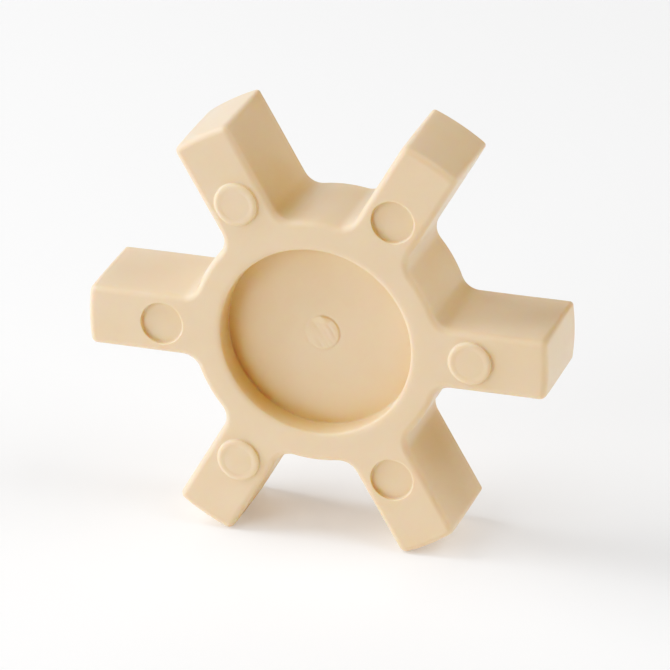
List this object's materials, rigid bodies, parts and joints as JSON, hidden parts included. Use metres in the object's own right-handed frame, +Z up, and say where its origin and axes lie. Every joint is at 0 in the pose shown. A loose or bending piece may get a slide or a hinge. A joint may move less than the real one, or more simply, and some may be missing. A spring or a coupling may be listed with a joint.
{
  "type": "jaw coupling spider",
  "caption": "Elastomer spider insert for a straight-jaw shaft coupling: a ring with straight radial legs, a closed recessed centre and round spacer pads.",
  "frame": {"origin": "centre of the insert, on the coupling axis and midway between its two flat faces", "axes": "+Y along the coupling axis, from the front face with the gate mark to the back face; +X along leg 1; +Z up, so that the insert stands on the tips of legs 5 and 6. Legs are numbered anticlockwise as seen from the front."},
  "size_m": [0.0536, 0.0126, 0.0492],
  "materials": {
    "elastomer": "cream thermoplastic elastomer, satin moulded skin, slightly translucent at the edges"
  },
  "bodies": {
    "root": {"spider": "elastomer"}
  },
  "joints": []
}
